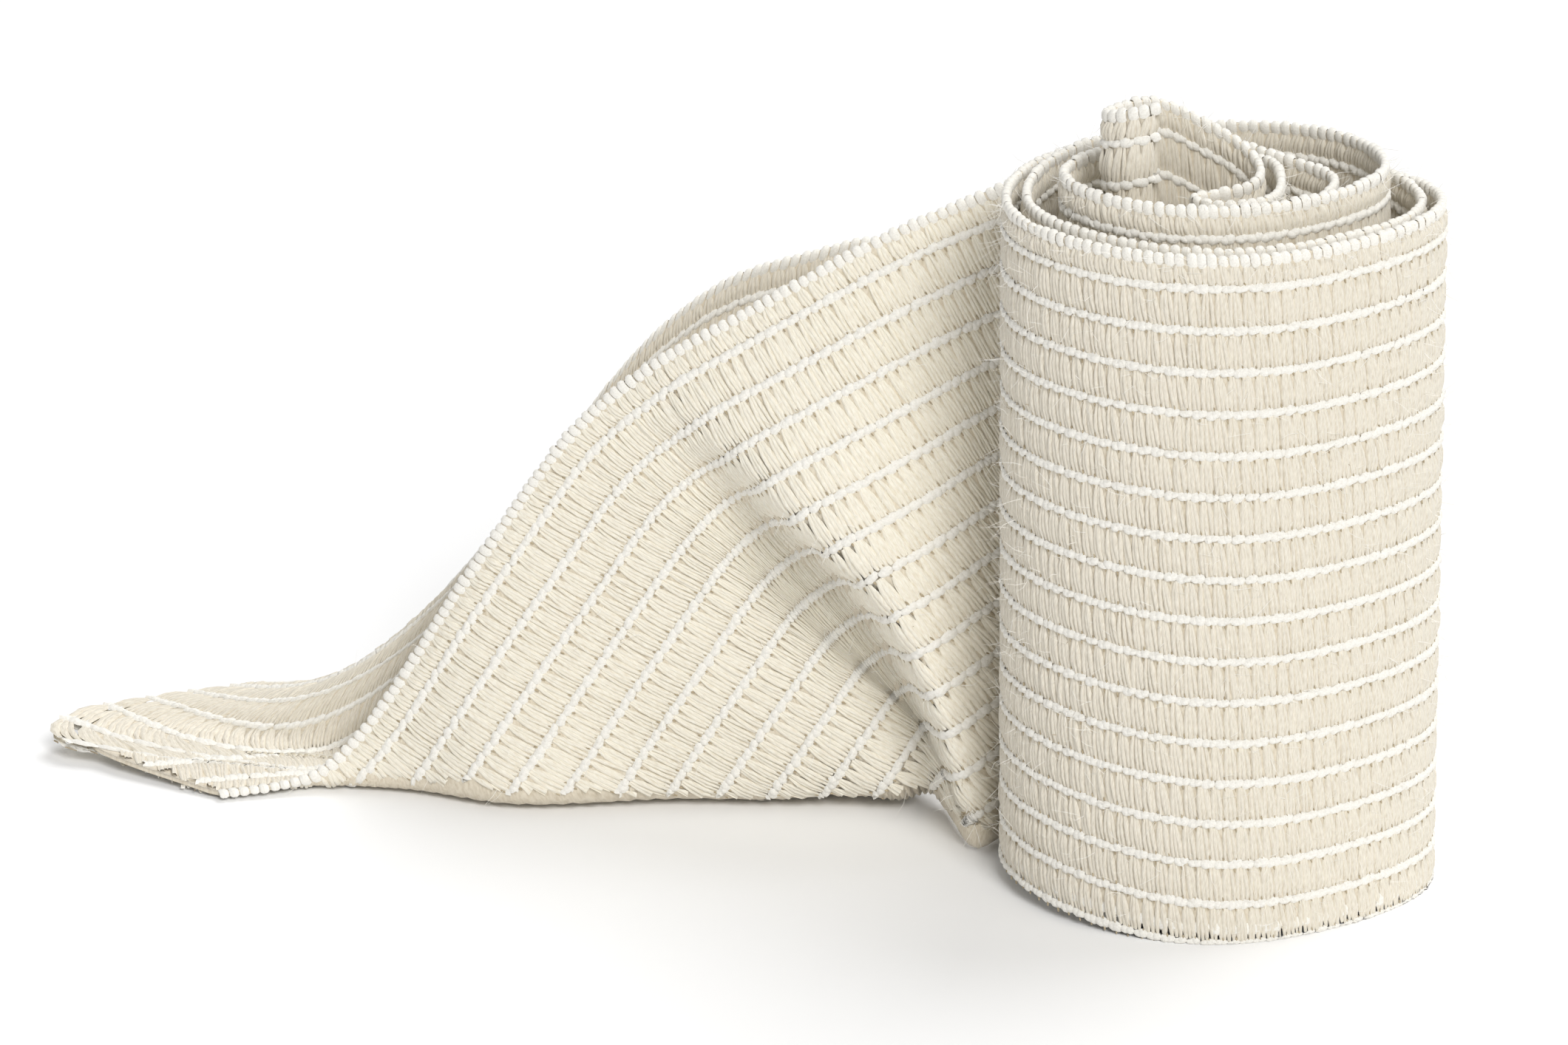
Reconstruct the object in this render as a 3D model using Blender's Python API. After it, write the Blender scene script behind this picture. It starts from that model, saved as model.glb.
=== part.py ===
"""Elastic bandage roll: one knitted strip, loosely wound and standing on its lower selvedge.

Its outer end leaves the roll at the back, runs out to the left and curls lengthwise into
an open trough that ends on the surface in a flat tongue. Lengths below are millimetres.
"""

import bpy
import numpy as np

MILLIMETRE = 0.001

# The cloth
WIDTH = 80.0
THICKNESS = 1.4
ON_FLOOR = THICKNESS / 2

# How finely the strip is cut into faces
ROLL_STEP = 2.7
ROLL_BANDS = 1
TAIL_BANDS = 32

# The loose end is first worked out on a finer grid, rounded there and then thinned out
FINE_STEP = 1.0
FINE_POINTS = 129
KEEP_EVERY = 2
ROUNDING = 2.1
WALL_POINTS = 240
FLAT_BELOW = 0.12

# The wound part. Each row is one turn, outermost first, going clockwise seen from above from the back.
# The first eight columns are distances from the axis to the middle of the cloth at the compass
# points, where north is the back. Then come the heights of the upper selvedge at four of them,
# and how far the lower selvedge is lifted off the surface there.
AXIS_Y = -8.0
COMPASS = ("n", "ne", "e", "se", "s", "sw", "w", "nw")
TURNS = (
    # n, ne, e, se, s, sw, w, nw, rim_n, rim_e, rim_s, rim_w, foot_n, foot_e, foot_s, foot_w
    (22.6, 23.2, 23.8, 17.8, 16.75, 18.3, 22.7, 23.9, 76.5, 80.0, 80.0, 80.0, 0.0, 0.6, 0.8, 3.2),
    (20.3, 20.9, 21.6, 15.7, 14.6, 16.2, 20.6, 21.0, 80.5, 80.0, 80.0, 80.6, 0.0, 0.0, 0.0, 0.0),
    (18.1, 18.7, 17.5, 12.9, 12.2, 14.1, 16.9, 13.0, 83.0, 84.0, 84.0, 84.0, 2.0, 3.5, 4.0, 4.0),
    (11.0, 8.9, 12.2, 10.4, 10.0, 12.0, 14.4, 10.6, 84.0, 83.0, 81.0, 80.0, 4.0, 3.0, 1.0, 0.0),
)

# The inner end, inside the last turn: a hairpin, a loop and the cut end folded back on it.
CORE = (
    # x, y, upper selvedge
    (0.0, 0.3, 81.0),
    (5.2, -3.2, 83.6),
    (6.4, -9.5, 83.0),
    (4.0, -15.3, 83.2),
    (-1.5, -15.6, 83.0),
    (-3.2, -13.6, 83.0),
    (-0.6, -12.6, 83.2),
    (3.0, -11.8, 83.8),
    (4.2, -8.6, 84.6),
    (2.2, -5.6, 86.4),
    (-1.8, -4.4, 88.5),
    (-6.2, -4.7, 90.8),
    (-10.4, -7.0, 91.3),
    (-12.5, -10.0, 91.4),
    (-10.8, -12.4, 92.2),
    (-6.2, -12.3, 93.2),
)

# The loose end. Each row is one section across the strip, from behind the roll to the cut end.
# top is the near selvedge, floor is where the near wall meets the surface, far is the far
# selvedge, lift is the height of the fold in front of the far wall, and bow is how far the
# middle of the section reaches out beyond its edges.
TAIL = (
    # top_x, top_y, top_z, floor_x, floor_y, far_x, far_y, far_z, lift, bow
    (-9.0, 14.6, 76.0, -9.0, 14.6, -9.0, 14.6, 0.7, 0.7, 0.0),
    (-17.0, 14.4, 75.4, -18.5, 13.0, -18.5, 13.0, 0.7, 0.7, 0.0),
    (-24.5, 13.6, 73.6, -26.0, -0.5, -26.0, -0.5, 0.7, 0.7, 0.0),
    (-33.0, 12.8, 70.3, -27.6, 4.0, -27.6, 5.0, 0.7, 0.7, 0.0),
    (-41.0, 12.7, 66.2, -29.2, 8.8, -29.0, 13.5, 0.9, 0.7, 0.0),
    (-48.0, 13.0, 62.0, -32.0, 9.2, -30.2, 20.0, 14.0, 0.7, 0.0),
    (-55.0, 13.6, 57.8, -37.0, 9.9, -31.4, 24.5, 41.0, 0.7, 0.0),
    (-62.0, 14.7, 53.2, -44.5, 11.4, -33.5, 26.2, 62.2, 0.7, 0.0),
    (-69.2, 16.0, 46.9, -54.0, 12.6, -41.0, 26.2, 62.8, 0.7, 0.0),
    (-77.0, 17.6, 36.0, -65.5, 12.4, -51.0, 27.0, 59.7, 0.7, 0.0),
    (-84.0, 19.0, 25.0, -77.0, 12.2, -62.0, 28.4, 51.3, 0.7, 0.5),
    (-91.0, 20.2, 13.2, -86.5, 16.6, -74.0, 29.4, 35.3, 0.7, 1.5),
    (-97.0, 20.0, 5.2, -94.5, 19.0, -86.0, 31.0, 19.0, 0.8, 4.0),
    (-103.0, 18.6, 1.5, -102.5, 19.4, -97.0, 34.0, 8.2, 1.6, 9.2),
    (-110.6, 17.0, 0.8, -111.0, 18.2, -105.6, 38.5, 5.2, 3.4, 17.4),
)

# The crest of the deep pleat beside the roll, from the surface up to where it dies out.
PLEAT = (
    # x, y, z
    (-24.0, -1.4, -2.0),
    (-26.2, -2.6, 0.7),
    (-27.6, -3.0, 4.2),
    (-30.2, -3.0, 14.0),
    (-34.4, -2.4, 24.0),
    (-39.4, -1.0, 31.0),
    (-45.6, 2.4, 36.4),
    (-52.0, 7.2, 42.4),
    (-60.5, 12.4, 48.2),
    (-70.0, 16.3, 52.0),
)
PLEAT_EDGE = 1.3
POCKET_DEPTH = 4.2
POCKET_LIP = 4.0
POCKET_REACH = 14.0
POCKET_ENDS_X = -64.0
POCKET_FADE = 16.0
PLEAT_STARTS_X = -20.0
PLEAT_FULL_X = -25.0
LEAN_AT_ROLL = 0.67
LEAN_OUTWARD = 0.016

# The fold along the surface, between the near wall and the far one
CORNER_TOWARDS_FAR_X = 0.3
CORNER_TOWARDS_FAR_Y = 0.85
BOW_POWER = 0.9
BOW_SKEW = 1.3

SHARP_EDGE = np.radians(50)
CREAM = (0.80, 0.76, 0.66, 1.0)


def spline(places, rows, wanted):
    """Rows of numbers on the natural cubic spline that meets rows[i] at places[i]."""
    places = np.asarray(places, float)
    rows = np.asarray(rows, float)
    wanted = np.asarray(wanted, float)
    step = np.diff(places)
    slope = np.diff(rows, axis=0) / step[:, None]
    matrix = np.eye(len(places))
    right = np.zeros_like(rows)
    for i in range(1, len(places) - 1):
        matrix[i, i - 1 : i + 2] = step[i - 1], 2 * (step[i - 1] + step[i]), step[i]
        right[i] = 6 * (slope[i] - slope[i - 1])
    bend = np.linalg.solve(matrix, right)
    i = np.clip(np.searchsorted(places, wanted, side="right") - 1, 0, len(step) - 1)
    length = step[i][:, None]
    after = (wanted - places[i])[:, None]
    before = length - after
    cubic = (before**3 * bend[i] + after**3 * bend[i + 1]) / (6 * length)
    line = (rows[i] / length - bend[i] * length / 6) * before
    return cubic + line + (rows[i + 1] / length - bend[i + 1] * length / 6) * after


def lengths_along(points):
    """Distance along the polyline at each of its points."""
    steps = np.linalg.norm(np.diff(points, axis=0), axis=1)
    return np.concatenate([[0.0], np.cumsum(steps)])


def evenly(points, count):
    """The polyline read again at count points an equal distance apart."""
    along = lengths_along(points)
    wanted = np.linspace(0.0, along[-1], count)
    return np.stack([np.interp(wanted, along, column) for column in points.T], axis=1)


def smoothstep(value):
    value = np.clip(value, 0.0, 1.0)
    return value * value * (3 - 2 * value)


def roll_knots():
    """Plan x, plan y, rim and foot height at each compass point of each turn, then of the core."""
    eighths = len(COMPASS)
    table = np.array(TURNS)
    rims = table[:, eighths : eighths + 4].ravel()
    feet = table[:, eighths + 4 :].ravel()
    quarters = np.arange(len(rims))
    knots = [(TAIL[0][0], TAIL[0][1], TAIL[0][2], 0.0)]
    for place, distance in enumerate(table[:, :eighths].ravel()):
        angle = np.pi / 2 - 2 * np.pi * place / eighths
        rim = np.interp(place / 2, quarters, rims)
        foot = np.interp(place / 2, quarters, feet)
        x = distance * np.cos(angle)
        y = AXIS_Y + distance * np.sin(angle)
        knots.append((x, y, rim, foot))
    return np.array(knots + [(x, y, rim, rim - WIDTH) for x, y, rim in CORE])


def roll_sections(rows):
    """Upright sections of the wound part, from behind the roll inwards."""
    knots = roll_knots()
    places = lengths_along(knots[:, :2])
    wanted = np.linspace(0.0, places[-1], round(places[-1] / ROLL_STEP))
    path = spline(places, knots, wanted)
    sections = []
    for x, y, rim, foot in path:
        height = np.linspace(rim, max(0.0, foot), rows)
        sections.append(np.stack([np.full(rows, x), np.full(rows, y), height], axis=1))
    return np.array(sections)


def near_wall(top, floor):
    """The near wall of one section, pushed forward beside the roll by the pleat."""
    down = np.linspace(0.0, 1.0, WALL_POINTS)[:, None]
    wall = top * (1 - down) + np.array([floor[0], floor[1], ON_FLOOR]) * down
    x, z = wall[:, 0], wall[:, 2]
    pleat = np.array(PLEAT)[::-1]
    crest_y = np.interp(x, pleat[:, 0], pleat[:, 1])
    crest_z = np.interp(x, pleat[:, 0], pleat[:, 2])
    tops = np.array(TAIL)[::-1]
    rim_y = np.interp(x, tops[:, 0], tops[:, 1])
    rim_z = np.interp(x, tops[:, 0], tops[:, 2])
    rise = np.clip((z - crest_z) / np.maximum(rim_z - crest_z, 1.0), 0.0, 1.0)
    lean = LEAN_AT_ROLL + LEAN_OUTWARD * np.maximum(PLEAT_FULL_X - x, 0.0)
    pushed = crest_y + (rim_y - crest_y) * rise**lean
    above = smoothstep((z - crest_z + PLEAT_EDGE) / (2 * PLEAT_EDGE))
    beside = smoothstep((PLEAT_STARTS_X - x) / (PLEAT_STARTS_X - PLEAT_FULL_X))
    below = np.maximum(crest_z - z, 0.0)
    inside = smoothstep(z / POCKET_REACH) * smoothstep((x - POCKET_ENDS_X) / POCKET_FADE)
    pocket = POCKET_DEPTH * smoothstep(below / POCKET_LIP) * np.exp(-below / POCKET_REACH) * inside
    wall[:, 1] += ((pushed - wall[:, 1]) * above + pocket * (1 - above)) * beside
    return wall


def blurred(grid, sigma):
    """A grid of points smoothed along its first axis, its first and last rows kept."""
    reach = round(3 * sigma)
    weights = np.exp(-0.5 * (np.arange(-reach, reach + 1) / sigma) ** 2)
    weights /= weights.sum()
    start = 2 * grid[:1] - grid[reach:0:-1]
    end = 2 * grid[-1:] - grid[-2 : -2 - reach : -1]
    padded = np.concatenate([start, grid, end])
    smooth = np.zeros_like(grid)
    for i, weight in enumerate(weights):
        smooth += weight * padded[i : i + len(grid)]
    return smooth


def tail_section(row):
    """One section across the loose end, from the near selvedge to the far one."""
    top, floor, far, lift, bow = row[0:3], row[3:5], row[5:8], row[8], row[9]
    near = near_wall(top, floor)
    corner_x = floor[0] + CORNER_TOWARDS_FAR_X * (far[0] - floor[0])
    corner_y = near[-1][1] + CORNER_TOWARDS_FAR_Y * (far[1] - near[-1][1])
    corner = np.array([corner_x, corner_y, max(lift, ON_FLOOR)])
    points = evenly(np.concatenate([near, [corner], [far]]), FINE_POINTS)
    fraction = np.linspace(0.0, 1.0, FINE_POINTS)
    points[:, 0] -= bow * np.sin(np.pi * fraction**BOW_SKEW) ** BOW_POWER
    return points


def tail_sections(rows):
    """Sections across the loose end, from behind the roll to the cut end."""
    table = np.array(TAIL)
    middles = (table[:, :3] + table[:, 5:8]) / 2
    places = lengths_along(middles)
    wanted = np.linspace(0.0, places[-1], round(places[-1] / FINE_STEP))
    grid = np.array([tail_section(row) for row in spline(places, table, wanted)])
    grid = blurred(grid, ROUNDING)
    grid = blurred(grid.swapaxes(0, 1), ROUNDING).swapaxes(0, 1)
    grid[:, :, 2] = np.maximum(grid[:, :, 2], ON_FLOOR)
    kept = list(range(0, len(grid) - KEEP_EVERY, KEEP_EVERY)) + [len(grid) - 1]
    return np.array([evenly(grid[i], rows) for i in kept])


def strip_sections(rows):
    """Every section of the strip, from its inner end to its outer end, each from top to bottom."""
    inner = roll_sections(rows)[::-1]
    outer = tail_sections(rows)
    return np.concatenate([inner, outer[1:]]), len(inner)


def normals_of(grid):
    """Unit normals of a grid of points."""
    along = np.gradient(grid, axis=0)
    across = np.gradient(grid, axis=1)
    normal = np.cross(across, along)
    return normal / np.linalg.norm(normal, axis=2)[:, :, None]


def zipped(first, second):
    """Faces between two columns of points that may differ in number."""
    faces = []
    a = b = 0
    while a < len(first) - 1 or b < len(second) - 1:
        ahead_a = (a + 1) / (len(first) - 1) if a < len(first) - 1 else 2.0
        ahead_b = (b + 1) / (len(second) - 1) if b < len(second) - 1 else 2.0
        if abs(ahead_a - ahead_b) < 1e-9:
            faces.append((first[a], first[a + 1], second[b + 1], second[b]))
            a += 1
            b += 1
        elif ahead_a < ahead_b:
            faces.append((first[a], first[a + 1], second[b]))
            a += 1
        else:
            faces.append((first[a], second[b + 1], second[b]))
            b += 1
    return faces


def sheet_solid(grid, bands_of):
    """Points and faces of the closed solid around a grid of points on the middle of the cloth."""
    normal = normals_of(grid)
    points = []
    columns = []
    for section, direction, bands in zip(grid, normal, bands_of):
        picked = np.round(np.linspace(0, len(section) - 1, bands + 1)).astype(int)
        sides = []
        for sign in (1, -1):
            side = section[picked] + sign * direction[picked] * THICKNESS / 2
            side[:, 2] = np.where(side[:, 2] < FLAT_BELOW, 0.0, side[:, 2])
            sides.append(range(len(points), len(points) + len(side)))
            points.extend(side)
        columns.append([list(side) for side in sides])
    faces = []
    for (out_a, in_a), (out_b, in_b) in zip(columns, columns[1:]):
        faces += zipped(out_a, out_b)
        faces += [face[::-1] for face in zipped(in_a, in_b)]
        faces.append((out_a[0], out_b[0], in_b[0], in_a[0]))
        faces.append((out_a[-1], in_a[-1], in_b[-1], out_b[-1]))
    for out, inside, turned in ((*columns[0], False), (*columns[-1], True)):
        for i in range(len(out) - 1):
            face = (out[i], inside[i], inside[i + 1], out[i + 1])
            faces.append(face[::-1] if turned else face)
    return np.array(points), faces


def cream_cotton():
    material = bpy.data.materials.new("cream cotton")
    material.use_nodes = True
    shader = material.node_tree.nodes["Principled BSDF"]
    shader.inputs["Base Color"].default_value = CREAM
    shader.inputs["Roughness"].default_value = 0.95
    shader.inputs["Metallic"].default_value = 0.0
    return material


def main():
    for obj in list(bpy.data.objects):
        bpy.data.objects.remove(obj, do_unlink=True)
    grid, wound = strip_sections(TAIL_BANDS + 1)
    bands = [ROLL_BANDS] * wound + [TAIL_BANDS] * (len(grid) - wound)
    points, faces = sheet_solid(grid, bands)
    middle = (points.min(axis=0) + points.max(axis=0)) / 2
    points -= (middle[0], middle[1], points[:, 2].min())
    mesh = bpy.data.meshes.new("bandage")
    mesh.from_pydata((points * MILLIMETRE).tolist(), [], faces)
    mesh.materials.append(cream_cotton())
    mesh.shade_smooth()
    mesh.set_sharp_from_angle(angle=SHARP_EDGE)
    bandage = bpy.data.objects.new("bandage", mesh)
    bpy.context.scene.collection.objects.link(bandage)


main()
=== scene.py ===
"""Looks of the elastic bandage roll: knitted cloth, its white stitch rows, selvedge loops and fuzz.

The cloth follows the same tables and formulas as the solid, in millimetres, and is then cut much
finer. Every stitch is laid on it by its place along the strip and its distance from a selvedge.
"""

import bpy
import numpy as np
from mathutils import Matrix, Vector


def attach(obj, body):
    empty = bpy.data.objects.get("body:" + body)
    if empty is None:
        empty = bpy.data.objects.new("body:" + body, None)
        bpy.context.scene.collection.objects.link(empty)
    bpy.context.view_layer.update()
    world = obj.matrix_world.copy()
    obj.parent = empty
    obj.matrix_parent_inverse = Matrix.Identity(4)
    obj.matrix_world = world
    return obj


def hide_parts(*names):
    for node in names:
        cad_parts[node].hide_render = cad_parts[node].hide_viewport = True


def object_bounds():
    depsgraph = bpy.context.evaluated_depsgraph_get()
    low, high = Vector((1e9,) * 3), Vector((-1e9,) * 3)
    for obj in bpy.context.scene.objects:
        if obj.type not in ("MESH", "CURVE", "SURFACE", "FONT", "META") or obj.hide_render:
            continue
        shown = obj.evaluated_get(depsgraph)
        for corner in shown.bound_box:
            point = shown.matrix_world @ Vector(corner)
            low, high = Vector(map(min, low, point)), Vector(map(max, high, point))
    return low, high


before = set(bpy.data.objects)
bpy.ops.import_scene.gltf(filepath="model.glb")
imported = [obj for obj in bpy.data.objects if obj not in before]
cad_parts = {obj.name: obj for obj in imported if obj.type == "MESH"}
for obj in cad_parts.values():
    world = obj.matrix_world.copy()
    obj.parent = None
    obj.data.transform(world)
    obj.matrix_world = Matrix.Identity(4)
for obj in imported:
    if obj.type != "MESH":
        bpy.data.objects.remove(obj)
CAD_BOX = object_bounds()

MILLIMETRE = 0.001
RANDOM = np.random.default_rng(7)

# The cloth
WIDTH = 80.0
THICKNESS = 1.4
ON_FLOOR = THICKNESS / 2

# The loose end is worked out on a fine grid and rounded there
FINE_STEP = 1.0
FINE_POINTS = 129
ROUNDING = 2.1
WALL_POINTS = 240

# The wound part. Each row is one turn, outermost first, going clockwise seen from above from the back.
# The first eight columns are distances from the axis to the middle of the cloth at the compass
# points, where north is the back. Then come the heights of the upper selvedge at four of them,
# and how far the lower selvedge is lifted off the surface there.
AXIS_Y = -8.0
COMPASS = ("n", "ne", "e", "se", "s", "sw", "w", "nw")
TURNS = (
    # n, ne, e, se, s, sw, w, nw, rim_n, rim_e, rim_s, rim_w, foot_n, foot_e, foot_s, foot_w
    (22.6, 23.2, 23.8, 17.8, 16.75, 18.3, 22.7, 23.9, 76.5, 80.0, 80.0, 80.0, 0.0, 0.6, 0.8, 3.2),
    (20.3, 20.9, 21.6, 15.7, 14.6, 16.2, 20.6, 21.0, 80.5, 80.0, 80.0, 80.6, 0.0, 0.0, 0.0, 0.0),
    (18.1, 18.7, 17.5, 12.9, 12.2, 14.1, 16.9, 13.0, 83.0, 84.0, 84.0, 84.0, 2.0, 3.5, 4.0, 4.0),
    (11.0, 8.9, 12.2, 10.4, 10.0, 12.0, 14.4, 10.6, 84.0, 83.0, 81.0, 80.0, 4.0, 3.0, 1.0, 0.0),
)

# The inner end, inside the last turn: a hairpin, a loop and the cut end folded back on it.
CORE = (
    # x, y, upper selvedge
    (0.0, 0.3, 81.0),
    (5.2, -3.2, 83.6),
    (6.4, -9.5, 83.0),
    (4.0, -15.3, 83.2),
    (-1.5, -15.6, 83.0),
    (-3.2, -13.6, 83.0),
    (-0.6, -12.6, 83.2),
    (3.0, -11.8, 83.8),
    (4.2, -8.6, 84.6),
    (2.2, -5.6, 86.4),
    (-1.8, -4.4, 88.5),
    (-6.2, -4.7, 90.8),
    (-10.4, -7.0, 91.3),
    (-12.5, -10.0, 91.4),
    (-10.8, -12.4, 92.2),
    (-6.2, -12.3, 93.2),
)

# The loose end. Each row is one section across the strip, from behind the roll to the cut end.
# top is the near selvedge, floor is where the near wall meets the surface, far is the far
# selvedge, lift is the height of the fold in front of the far wall, and bow is how far the
# middle of the section reaches out beyond its edges.
TAIL = (
    # top_x, top_y, top_z, floor_x, floor_y, far_x, far_y, far_z, lift, bow
    (-9.0, 14.6, 76.0, -9.0, 14.6, -9.0, 14.6, 0.7, 0.7, 0.0),
    (-17.0, 14.4, 75.4, -18.5, 13.0, -18.5, 13.0, 0.7, 0.7, 0.0),
    (-24.5, 13.6, 73.6, -26.0, -0.5, -26.0, -0.5, 0.7, 0.7, 0.0),
    (-33.0, 12.8, 70.3, -27.6, 4.0, -27.6, 5.0, 0.7, 0.7, 0.0),
    (-41.0, 12.7, 66.2, -29.2, 8.8, -29.0, 13.5, 0.9, 0.7, 0.0),
    (-48.0, 13.0, 62.0, -32.0, 9.2, -30.2, 20.0, 14.0, 0.7, 0.0),
    (-55.0, 13.6, 57.8, -37.0, 9.9, -31.4, 24.5, 41.0, 0.7, 0.0),
    (-62.0, 14.7, 53.2, -44.5, 11.4, -33.5, 26.2, 62.2, 0.7, 0.0),
    (-69.2, 16.0, 46.9, -54.0, 12.6, -41.0, 26.2, 62.8, 0.7, 0.0),
    (-77.0, 17.6, 36.0, -65.5, 12.4, -51.0, 27.0, 59.7, 0.7, 0.0),
    (-84.0, 19.0, 25.0, -77.0, 12.2, -62.0, 28.4, 51.3, 0.7, 0.5),
    (-91.0, 20.2, 13.2, -86.5, 16.6, -74.0, 29.4, 35.3, 0.7, 1.5),
    (-97.0, 20.0, 5.2, -94.5, 19.0, -86.0, 31.0, 19.0, 0.8, 4.0),
    (-103.0, 18.6, 1.5, -102.5, 19.4, -97.0, 34.0, 8.2, 1.6, 9.2),
    (-110.6, 17.0, 0.8, -111.0, 18.2, -105.6, 38.5, 5.2, 3.4, 17.4),
)

# The crest of the deep pleat beside the roll, from the surface up to where it dies out.
PLEAT = (
    # x, y, z
    (-24.0, -1.4, -2.0),
    (-26.2, -2.6, 0.7),
    (-27.6, -3.0, 4.2),
    (-30.2, -3.0, 14.0),
    (-34.4, -2.4, 24.0),
    (-39.4, -1.0, 31.0),
    (-45.6, 2.4, 36.4),
    (-52.0, 7.2, 42.4),
    (-60.5, 12.4, 48.2),
    (-70.0, 16.3, 52.0),
)
PLEAT_EDGE = 1.3
POCKET_DEPTH = 4.2
POCKET_LIP = 4.0
POCKET_REACH = 14.0
POCKET_ENDS_X = -64.0
POCKET_FADE = 16.0
PLEAT_STARTS_X = -20.0
PLEAT_FULL_X = -25.0
LEAN_AT_ROLL = 0.67
LEAN_OUTWARD = 0.016

# The fold along the surface, between the near wall and the far one
CORNER_TOWARDS_FAR_X = 0.3
CORNER_TOWARDS_FAR_Y = 0.85
BOW_POWER = 0.9
BOW_SKEW = 1.3


def spline(places, rows, wanted):
    """Rows of numbers on the natural cubic spline that meets rows[i] at places[i]."""
    places = np.asarray(places, float)
    rows = np.asarray(rows, float)
    wanted = np.asarray(wanted, float)
    step = np.diff(places)
    slope = np.diff(rows, axis=0) / step[:, None]
    matrix = np.eye(len(places))
    right = np.zeros_like(rows)
    for i in range(1, len(places) - 1):
        matrix[i, i - 1 : i + 2] = step[i - 1], 2 * (step[i - 1] + step[i]), step[i]
        right[i] = 6 * (slope[i] - slope[i - 1])
    bend = np.linalg.solve(matrix, right)
    i = np.clip(np.searchsorted(places, wanted, side="right") - 1, 0, len(step) - 1)
    length = step[i][:, None]
    after = (wanted - places[i])[:, None]
    before = length - after
    cubic = (before**3 * bend[i] + after**3 * bend[i + 1]) / (6 * length)
    line = (rows[i] / length - bend[i] * length / 6) * before
    return cubic + line + (rows[i + 1] / length - bend[i + 1] * length / 6) * after


def lengths_along(points):
    """Distance along the polyline at each of its points."""
    steps = np.linalg.norm(np.diff(points, axis=0), axis=1)
    return np.concatenate([[0.0], np.cumsum(steps)])


def evenly(points, count):
    """The polyline read again at count points an equal distance apart."""
    along = lengths_along(points)
    wanted = np.linspace(0.0, along[-1], count)
    return np.stack([np.interp(wanted, along, column) for column in points.T], axis=1)


def smoothstep(value):
    value = np.clip(value, 0.0, 1.0)
    return value * value * (3 - 2 * value)


def roll_knots():
    """Plan x, plan y, rim and foot height at each compass point of each turn, then of the core."""
    eighths = len(COMPASS)
    table = np.array(TURNS)
    rims = table[:, eighths : eighths + 4].ravel()
    feet = table[:, eighths + 4 :].ravel()
    quarters = np.arange(len(rims))
    knots = [(TAIL[0][0], TAIL[0][1], TAIL[0][2], 0.0)]
    for place, distance in enumerate(table[:, :eighths].ravel()):
        angle = np.pi / 2 - 2 * np.pi * place / eighths
        rim = np.interp(place / 2, quarters, rims)
        foot = np.interp(place / 2, quarters, feet)
        x = distance * np.cos(angle)
        y = AXIS_Y + distance * np.sin(angle)
        knots.append((x, y, rim, foot))
    return np.array(knots + [(x, y, rim, rim - WIDTH) for x, y, rim in CORE])


def near_wall(top, floor):
    """The near wall of one section, pushed forward beside the roll by the pleat."""
    down = np.linspace(0.0, 1.0, WALL_POINTS)[:, None]
    wall = top * (1 - down) + np.array([floor[0], floor[1], ON_FLOOR]) * down
    x, z = wall[:, 0], wall[:, 2]
    pleat = np.array(PLEAT)[::-1]
    crest_y = np.interp(x, pleat[:, 0], pleat[:, 1])
    crest_z = np.interp(x, pleat[:, 0], pleat[:, 2])
    tops = np.array(TAIL)[::-1]
    rim_y = np.interp(x, tops[:, 0], tops[:, 1])
    rim_z = np.interp(x, tops[:, 0], tops[:, 2])
    rise = np.clip((z - crest_z) / np.maximum(rim_z - crest_z, 1.0), 0.0, 1.0)
    lean = LEAN_AT_ROLL + LEAN_OUTWARD * np.maximum(PLEAT_FULL_X - x, 0.0)
    pushed = crest_y + (rim_y - crest_y) * rise**lean
    above = smoothstep((z - crest_z + PLEAT_EDGE) / (2 * PLEAT_EDGE))
    beside = smoothstep((PLEAT_STARTS_X - x) / (PLEAT_STARTS_X - PLEAT_FULL_X))
    below = np.maximum(crest_z - z, 0.0)
    inside = smoothstep(z / POCKET_REACH) * smoothstep((x - POCKET_ENDS_X) / POCKET_FADE)
    pocket = POCKET_DEPTH * smoothstep(below / POCKET_LIP) * np.exp(-below / POCKET_REACH) * inside
    wall[:, 1] += ((pushed - wall[:, 1]) * above + pocket * (1 - above)) * beside
    return wall


def blurred(grid, sigma):
    """A grid of points smoothed along its first axis, its first and last rows kept."""
    reach = round(3 * sigma)
    weights = np.exp(-0.5 * (np.arange(-reach, reach + 1) / sigma) ** 2)
    weights /= weights.sum()
    start = 2 * grid[:1] - grid[reach:0:-1]
    end = 2 * grid[-1:] - grid[-2 : -2 - reach : -1]
    padded = np.concatenate([start, grid, end])
    smooth = np.zeros_like(grid)
    for i, weight in enumerate(weights):
        smooth += weight * padded[i : i + len(grid)]
    return smooth


def tail_section(row):
    """One section across the loose end, from the near selvedge to the far one."""
    top, floor, far, lift, bow = row[0:3], row[3:5], row[5:8], row[8], row[9]
    near = near_wall(top, floor)
    corner_x = floor[0] + CORNER_TOWARDS_FAR_X * (far[0] - floor[0])
    corner_y = near[-1][1] + CORNER_TOWARDS_FAR_Y * (far[1] - near[-1][1])
    corner = np.array([corner_x, corner_y, max(lift, ON_FLOOR)])
    points = evenly(np.concatenate([near, [corner], [far]]), FINE_POINTS)
    fraction = np.linspace(0.0, 1.0, FINE_POINTS)
    points[:, 0] -= bow * np.sin(np.pi * fraction**BOW_SKEW) ** BOW_POWER
    near_length = lengths_along(near)[-1]
    floor_width = np.linalg.norm(corner - near[-1])
    whole = near_length + floor_width + np.linalg.norm(far - corner)
    return points, (near_length + floor_width / 2) / whole


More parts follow.
